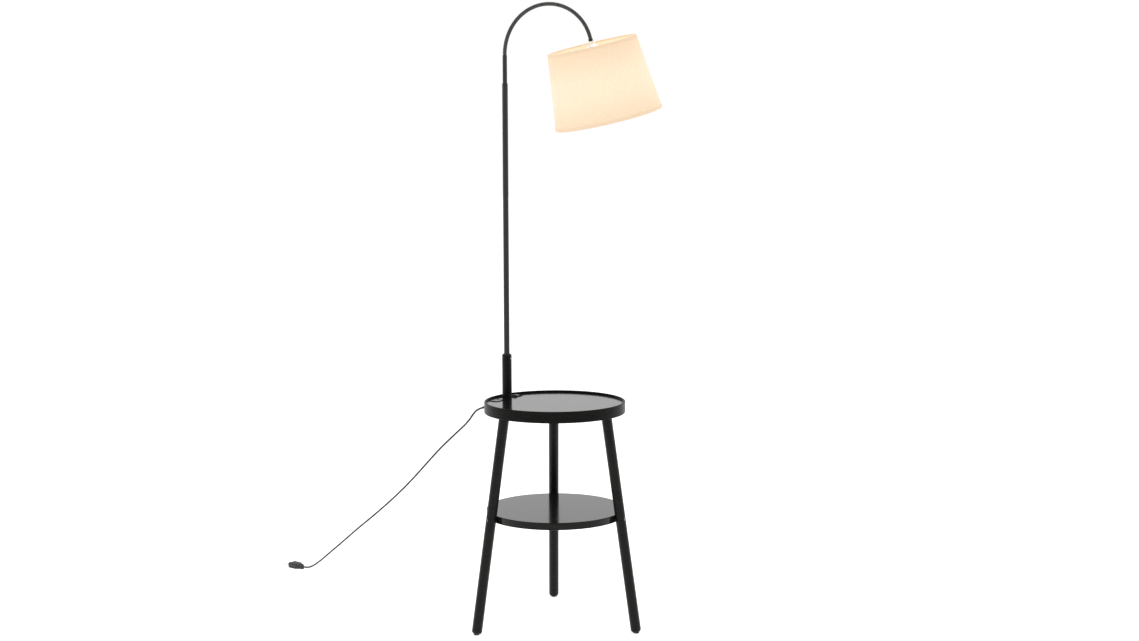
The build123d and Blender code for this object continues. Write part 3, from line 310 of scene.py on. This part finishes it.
# ------------------------------------------------------------------ box under the tray
# Black moulded box over the wiring, screwed up into the top, with the pole
# socket's nut and washer, terminals and cord clamp inside it.
paint(moulded("box_plastic", (0.016, 0.016, 0.016), 0.5), "electrics_box", "terminal_block", "cord_clamp")
paint(zinc, "box_screws", "clamp_screws", "socket_nut", "socket_washer", "set_screws")


# ------------------------------------------------------------------ pole and socket
# Steel tubes with a satin black powder coat: a stout socket on the tray, the
# pole that turns in its nylon bush, and a thinner tube above a coupling.
def powder_coat(name, light, shine):
    """Satin black powder coat: faint orange peel over slow clouds of gloss."""
    finish, tree, shader = new_finish(name)
    peel = noise(tree, object_space(tree), 700, 3, 0.5)
    cloud = noise(tree, object_space(tree), 14, 3)
    tree.links.new(blend_colours(tree, cloud, (0.6 * light,) * 3, (light,) * 3),
                   shader.inputs["Base Color"])
    tree.links.new(spread(tree, cloud, 0.33, 0.42), shader.inputs["Roughness"])
    shader.inputs["Specular Tint"].default_value = (shine, shine, shine, 1)
    relief(tree, shader, peel, 0.00005, 0.35)
    return finish


# Three copies of the one coat: the neck's is twice as light and glossier, painted light standing in for
# the lamp's light falling on it; the socket's is darker and duller.
pole_coat = powder_coat("pole_coat", 0.0150, 0.55)
neck_coat_painted_lit = powder_coat("neck_coat_painted_lit", 0.0300, 0.80)
socket_coat = powder_coat("socket_coat", 0.0060, 0.16)
paint(pole_coat, "lower_pole", "pole_coupling", "upper_tube", "lower_ferrule", "upper_ferrule")
paint(socket_coat, "socket_tube")
paint(moulded("nylon_bush", (0.03, 0.03, 0.03), 0.45), "socket_bush", "pole_seat")


# ------------------------------------------------------------------ flexible neck
# Black-coated flexible metal conduit that arches over: rounded ribs with a
# narrow groove between them, in eight links that bend at the gaps between.
def mesh_piece(name, points, faces, finish, body):
    """A smooth-shaded piece from points and faces, riding on a body."""
    mesh = bpy.data.meshes.new(name)
    mesh.vertices.add(len(points))
    mesh.vertices.foreach_set("co", np.asarray(points, np.float32).ravel())
    mesh.loops.add(faces.size)
    mesh.loops.foreach_set("vertex_index", faces.astype(np.int32).ravel())
    mesh.polygons.add(len(faces))
    mesh.polygons.foreach_set("loop_start", np.arange(0, faces.size, faces.shape[1], dtype=np.int32))
    mesh.polygons.foreach_set("use_smooth", np.ones(len(faces), bool))
    mesh.update(calc_edges=True)
    mesh.validate()
    mesh.materials.append(finish)
    piece = bpy.data.objects.new(name, mesh)
    bpy.context.scene.collection.objects.link(piece)
    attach(piece, body)
    return piece


def grid_faces(rows, columns):
    """Quads over a grid of points that closes on itself both ways."""
    r, c = (a.ravel() for a in np.meshgrid(np.arange(rows), np.arange(columns), indexing="ij"))
    r1, c1 = (r + 1) % rows, (c + 1) % columns
    return np.stack([r * columns + c, r * columns + c1, r1 * columns + c1, r1 * columns + c], 1)


pole_foot = np.array([-0.11867, 0.07707, 0.0])
arm_azimuth = radians(22.5)
arm_forward = np.array([cos(arm_azimuth), sin(arm_azimuth), 0.0])
arm_side = np.array([-sin(arm_azimuth), cos(arm_azimuth), 0.0])
neck_start_z = 1.412
neck_turn = radians(165.6)
first_bend_radius, last_bend_radius = 0.134, 0.106
link_count = 8
along_neck = (np.arange(link_count) + 0.5) / link_count
neck_radii = first_bend_radius + (last_bend_radius - first_bend_radius) * along_neck
link_length = neck_turn / np.sum(1 / neck_radii)
neck_gap = 0.00074
rib_count, rib_steps = 14, 8
groove_radius, crest_radius, bore_radius = 0.00435, 0.0049, 0.0032
stub_radius, stub_bore, stub_reach, stub_root = 0.00285, 0.0022, 0.0019, 0.0020
stub_bevel, stub_tip_radius = 0.00004, 0.0027

hinge_out, hinge_z, hinge_lean = [0.0], [neck_start_z], [0.0]
for bend_radius in neck_radii:
    lean = hinge_lean[-1]
    middle = (hinge_out[-1] + bend_radius * cos(lean), hinge_z[-1] - bend_radius * sin(lean))
    lean += link_length / bend_radius
    hinge_out.append(middle[0] - bend_radius * cos(lean))
    hinge_z.append(middle[1] + bend_radius * sin(lean))
    hinge_lean.append(lean)


def link_point(i, s, radius, angle):
    """Point of link i: along its arc by s, then out by a radius at an angle round it."""
    bend_radius, lean = neck_radii[i], hinge_lean[i]
    turned = lean + s / bend_radius
    outer, across = radius * np.cos(angle), radius * np.sin(angle)
    out = hinge_out[i] + bend_radius * (np.cos(lean) - np.cos(turned)) + outer * np.cos(turned)
    z = hinge_z[i] + bend_radius * (np.sin(turned) - np.sin(lean)) - outer * np.sin(turned)
    return (pole_foot + out[..., None] * arm_forward + across[..., None] * arm_side
            + z[..., None] * np.array([0, 0, 1.0]))


# Profile of one link in (arc length, radius): flattened humps outside, then the
# end face, the stub that reaches into the next link, and back through the bore.
rib_pitch = (link_length - neck_gap) / rib_count
share = np.arange(rib_count * rib_steps + 1) / rib_steps
hump = (1 - np.abs(2 * (share % 1) - 1) ** 3.2) ** 0.8
stub_tip = stub_reach + stub_bevel
profile_s = np.concatenate([
    neck_gap / 2 + share * rib_pitch,
    link_length - neck_gap / 2 + np.array([0, stub_reach, stub_tip, stub_tip, -stub_root, -stub_root]),
    [neck_gap / 2]])
profile_r = np.concatenate([
    groove_radius + (crest_radius - groove_radius) * hump,
    [stub_radius, stub_radius, stub_tip_radius, stub_bore, stub_bore, bore_radius, bore_radius]])
neck_angles = np.linspace(0, 2 * pi, 36, endpoint=False)
link_s, link_angle = np.meshgrid(profile_s, neck_angles, indexing="ij")
for i in range(link_count):
    points = link_point(i, link_s, profile_r[:, None], link_angle).reshape(-1, 3)
    link = mesh_piece(f"ribbed_link_{i + 1}", points, grid_faces(*link_s.shape),
                      neck_coat_painted_lit, f"neck_{i + 1}")
    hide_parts(f"neck_link_{i + 1}")


# ------------------------------------------------------------------ outlets in the tray
# A charger with two ports and a rocker switch, each a glossy face in a dull
# black rubber frame that lies round it on the tray beside the pole.
face_plastic = moulded("face_plastic", (0.014, 0.014, 0.014), 0.16, 0.1)
paint(face_plastic, "usb_face", "switch_rocker")
dull_plastic = moulded("dull_plastic", (0.008, 0.008, 0.008), 0.6)
dull_plastic.node_tree.nodes["Principled BSDF"].inputs["Specular IOR Level"].default_value = 0.08
paint(dull_plastic, "switch_bezel", "usb_body", "switch_body")
paint(nickel, "usb_ports")

outlet_radius, outlet_azimuth = 0.1415, radians(147)
outlet_half_width, outlet_half_length, outlet_corner = 0.0120, 0.0150, 0.0030
tray_z = 0.555
strip_profile = np.array([
    (0.0008, 0.0), (0.00085, 0.0007), (0.0006, 0.0012), (0.0001, 0.00148), (-0.0008, 0.00154),
    (-0.0015, 0.00148), (-0.0019, 0.0013), (-0.0019, 0.00121), (-0.0005, 0.00121),
    (0.00004, 0.00071), (0.00004, 0.0)])


def frame_strip(name, along_edge):
    """The strip's profile of (outward, height) carried round a rounded oblong, out along its normal."""
    steps = 10
    quarter = np.repeat(np.arange(4), steps)
    normal = quarter * pi / 2 + np.tile(np.linspace(0, pi / 2, steps), 4)
    sign_x, sign_y = np.array([1, -1, -1, 1])[quarter], np.array([1, 1, -1, -1])[quarter]
    out, up = strip_profile[:, :1], strip_profile[:, 1:]
    u = (outlet_radius + sign_x * (outlet_half_width - outlet_corner)
         + (outlet_corner + out) * np.cos(normal))
    v = (along_edge + sign_y * (outlet_half_length - outlet_corner)
         + (outlet_corner + out) * np.sin(normal))
    points = np.stack([u * cos(outlet_azimuth) - v * sin(outlet_azimuth),
                       u * sin(outlet_azimuth) + v * cos(outlet_azimuth),
                       tray_z + up * np.ones_like(u)], 2)
    mesh_piece(name, points.reshape(-1, 3), grid_faces(*u.shape), dull_plastic, "table")


frame_strip("charger_frame", 0.048)
frame_strip("switch_frame", -0.038)


# ------------------------------------------------------------------ lampholder and bulb
# White moulded lampholder screwed to the neck's end, clamping the shade's
# wire frame with a threaded ring, and a frosted bulb that is lit.
paint(moulded("white_plastic", (0.84, 0.82, 0.77), 0.3, 0.1),
      "lampholder_cap", "lampholder_shell", "lampholder_contact", "shade_nut")
paint(plated("bulb_cap_metal", (0.75, 0.75, 0.76), 0.3), "bulb_cap")

lit_glass, tree, shader = new_finish("lit_glass")
shader.inputs["Base Color"].default_value = (0.95, 0.92, 0.86, 1)
shader.inputs["Roughness"].default_value = 0.35
frost = noise(tree, object_space(tree), 30, 2)
tree.links.new(blend_colours(tree, frost, (1.0, 0.80, 0.52), (1.0, 0.84, 0.60)),
               shader.inputs["Emission Color"])
shader.inputs["Emission Strength"].default_value = 3.0
paint(lit_glass, "bulb_glass")


# ------------------------------------------------------------------ shade frame
# White-enamelled wire: a spider that drops from the top ring to the holder,
# and a loose ring that keeps the bottom edge round.
enamel, tree, shader = new_finish("white_enamel")
cloud = noise(tree, object_space(tree), 120, 3)
tree.links.new(blend_colours(tree, cloud, (0.74, 0.72, 0.67), (0.82, 0.80, 0.75)),
               shader.inputs["Base Color"])
tree.links.new(spread(tree, cloud, 0.28, 0.4), shader.inputs["Roughness"])
relief(tree, shader, noise(tree, object_space(tree), 1500, 2), 0.00003, 0.3)
paint(enamel, "shade_spider", "shade_bottom_ring")


# ------------------------------------------------------------------ shade
# Tapered drum of off-white linen laminated to a translucent liner, with a painted glow:
# emission, brightest level with the bulb, stands in for the bulb's light shining through, and
# the weave shows in it. The cloth overlaps in one seam at the back.
shade_top, shade_length = 0.0159, 0.1917
shade_top_radius, shade_middle_radius, shade_bottom_radius = 0.115, 0.127, 0.139
bulb_middle = 0.1261
end_lean = hinge_lean[-1]
neck_end = pole_foot + hinge_out[-1] * arm_forward + np.array([0, 0, hinge_z[-1]])
head_down = arm_forward * sin(end_lean) + np.array([0, 0, cos(end_lean)])
head_across = np.cross(head_down, arm_side)


def head_point(radius, angle, z):
    """Point in the lampholder's own frame: out by a radius at an angle, down its axis by z."""
    return (neck_end + (radius * np.cos(angle))[..., None] * arm_side
            + (radius * np.sin(angle))[..., None] * head_across + z[..., None] * head_down)


def shade_radius(z):
    """Outside radius of the cloth at a distance down the axis."""
    return shade_top_radius + (shade_bottom_radius - shade_top_radius) * (z - shade_top) / shade_length


def bulb_light(radius, z):
    """Strength of the painted glow on the wall, standing in for the bulb's light: 1 level with it, falls
    with slant and with distance squared.
    """
    distance = np.hypot(radius, z - bulb_middle)
    return (radius / distance) * (shade_middle_radius / distance) ** 2


def cloth_maps(piece, angle, v, glow):
    """Gives a piece a map in metres round and across the cloth, and the strength of the painted glow at
    each point.
    """
    mesh = piece.data
    corner = np.zeros(len(mesh.loops), np.int32)
    mesh.loops.foreach_get("vertex_index", corner)
    layer = mesh.uv_layers.new(name="cloth")
    place = np.stack([(angle * shade_middle_radius).ravel()[corner], v.ravel()[corner]], 1)
    round_length = 2 * pi * shade_middle_radius
    first = np.repeat(place[0::4, 0], 4)  # a quad across the map's cut follows its first corner
    place[:, 0] += round_length * np.round((first - place[:, 0]) / round_length)
    layer.data.foreach_set("uv", place.astype(np.float32).ravel())
    light = mesh.attributes.new("glow", "FLOAT", "POINT")
    light.data.foreach_set("value", glow.ravel().astype(np.float32))


def linen(name, tint, dimmest, brightest):
    """Linen with crossing threads of uneven thickness and a painted glow: emission brighter and paler
    where the bulb is close, standing in for its light shining through.
    """
    finish, tree, shader = new_finish(name)
    cloth = add(tree, "UVMap", uv_map="cloth")
    threads = []
    for stretch in ((1500, 60, 1), (60, 1500, 1)):
        mapping = add(tree, "Mapping", {"Scale": stretch})
        tree.links.new(cloth.outputs["UV"], mapping.inputs["Vector"])
        threads.append(noise(tree, mapping.outputs[0], 1.0, 3, 0.6))
    weave = add(tree, "Math", operation="ADD")
    tree.links.new(threads[0], weave.inputs[0])
    tree.links.new(threads[1], weave.inputs[1])
    slub = spread(tree, weave.outputs[0], 0, 1, (0.75, 1.25))
    tree.links.new(blend_colours(tree, slub, tuple(c * 0.88 for c in tint), tint),
                   shader.inputs["Base Color"])
    shader.inputs["Roughness"].default_value = 0.9
    shader.inputs["Specular IOR Level"].default_value = 0.15
    shader.inputs["Sheen Weight"].default_value = 0.1
    glow = add(tree, "Attribute", attribute_name="glow")
    warm = blend_colours(tree, spread(tree, glow.outputs["Fac"], 0, 1, (0.25, 0.95)),
                         (1.0, 0.63, 0.34), (1.0, 0.82, 0.57))
    tree.links.new(warm, shader.inputs["Emission Color"])
    strength = add(tree, "Math", operation="MULTIPLY")
    tree.links.new(spread(tree, glow.outputs["Fac"], dimmest, brightest, (0.25, 1.0)), strength.inputs[0])
    tree.links.new(spread(tree, slub, 0.90, 1.08, (0, 1)), strength.inputs[1])
    tree.links.new(strength.outputs[0], shader.inputs["Emission Strength"])
    relief(tree, shader, weave.outputs[0], 0.0002, 0.5)
    return finish


linen_tint = (0.35, 0.30, 0.24)
lit_linen = linen("lit_linen", linen_tint, 0.54, 0.64)
round_steps, rise_steps = 180, 24
cloth_thickness = 0.0007
seam_angle = radians(60)
seam_width, seam_step, seam_slope = 0.012, 0.0004, 0.0015

# Down the outside and up the inside. Near the seam the outside is a step higher.
round_angles = np.linspace(0, 2 * pi, round_steps, endpoint=False)
rise = np.linspace(0, 1, rise_steps)
wall_z = shade_top + shade_length * np.concatenate([rise, rise[::-1]])
inward = np.repeat([0, cloth_thickness], rise_steps)[:, None]
z, angle = np.meshgrid(wall_z, round_angles, indexing="ij")
from_seam = np.abs(np.angle(np.exp(1j * (angle - seam_angle)))) * shade_middle_radius
lap = seam_step * np.clip((seam_width - from_seam) / seam_slope, 0, 1) * (inward == 0)
radius = shade_radius(z) - inward + lap
shade_cloth = mesh_piece("shade_cloth", head_point(radius, angle, z).reshape(-1, 3),
                         grid_faces(*z.shape), lit_linen, "head")
cloth_maps(shade_cloth, angle, z, bulb_light(radius, z))
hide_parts("shade_fabric")


# ------------------------------------------------------------------ shade edges
# A strip of the same linen is glued outside each edge, rolled over it and
# round the wire ring, and tucked in against the liner.
strip_height, strip_thickness, strip_gap = 0.0070, 0.0004, 0.00006
wire_radius, wire_inset, wire_drop, wire_gap = 0.0016, 0.0030, 0.0020, 0.00005
# The strips carry the same painted glow, a little dimmer, standing in for the bulb's light shining
# through.
hem_linen = linen("hem_linen", linen_tint, 0.48, 0.58)


def hem_path():
    """Middle line of the strip as (outward, in from the edge): along the face, over, round the wire."""
    half = strip_thickness / 2
    face = [(half + strip_gap, d) for d in np.linspace(strip_height, 0.0004, 9)]
    over = [(half - 0.0001, 0.0), (-0.0002, -half - 0.00008), (-0.0012, -half - 0.00012), (-0.0020, -half)]
    reach = wire_radius + half + wire_gap
    roll = [(-wire_inset + reach * cos(a), wire_drop - reach * sin(a))
            for a in radians(90) + np.linspace(0, radians(150), 14)]
    return np.array(face + over + roll)


def rolled_hem(name, edge_z, down):
    """The strip's middle line, offset by half its thickness to both sides, carried round the shade."""
    path = hem_path()
    along = np.gradient(path, axis=0)
    along /= np.linalg.norm(along, axis=1)[:, None]
    side = np.stack([along[:, 1], -along[:, 0]], 1) * strip_thickness / 2
    outline = np.concatenate([path + side, (path - side)[::-1]])
    z, angle = np.meshgrid(edge_z + down * outline[:, 1], round_angles, indexing="ij")
    radius = shade_radius(z) + outline[:, :1]
    faces = grid_faces(*z.shape)[:, ::down]  # the lower strip runs the other way
    hem = mesh_piece(name, head_point(radius, angle, z).reshape(-1, 3), faces, hem_linen, "head")
    run = np.cumsum(np.linalg.norm(np.diff(outline, axis=0, prepend=outline[:1]), axis=1))
    cloth_maps(hem, angle, run[:, None] * np.ones_like(z), bulb_light(shade_radius(z), z))
    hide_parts("shade_trims")
    return hem


top_hem = rolled_hem("top_hem", shade_top, 1)
bottom_hem = rolled_hem("bottom_hem", shade_top + shade_length, -1)


# ------------------------------------------------------------------ shade liner
# Thin translucent sheet inside the linen with a painted glow standing in for the
# bulb's light on it: emission brightest beside the bulb and warmer towards the two edges.
liner_sheet, tree, shader = new_finish("liner_sheet")
cloud = noise(tree, object_space(tree), 40, 3)
tree.links.new(blend_colours(tree, cloud, (0.36, 0.32, 0.26), (0.40, 0.36, 0.29)),
               shader.inputs["Base Color"])
shader.inputs["Roughness"].default_value = 0.5
shader.inputs["Specular IOR Level"].default_value = 0.3
from_bulb = add(tree, "VectorMath", {1: neck_end + bulb_middle * head_down}, operation="DISTANCE")
tree.links.new(object_space(tree), from_bulb.inputs[0])
near = spread(tree, from_bulb.outputs["Value"], 1, 0, (0.125, 0.185))
tree.links.new(blend_colours(tree, near, (1.0, 0.66, 0.37), (1.0, 0.84, 0.60)),
               shader.inputs["Emission Color"])
tree.links.new(spread(tree, near, 0.45, 0.8, (0, 1)), shader.inputs["Emission Strength"])
relief(tree, shader, noise(tree, object_space(tree), 900, 2), 0.00004, 0.3)
paint(liner_sheet, "shade_liner")
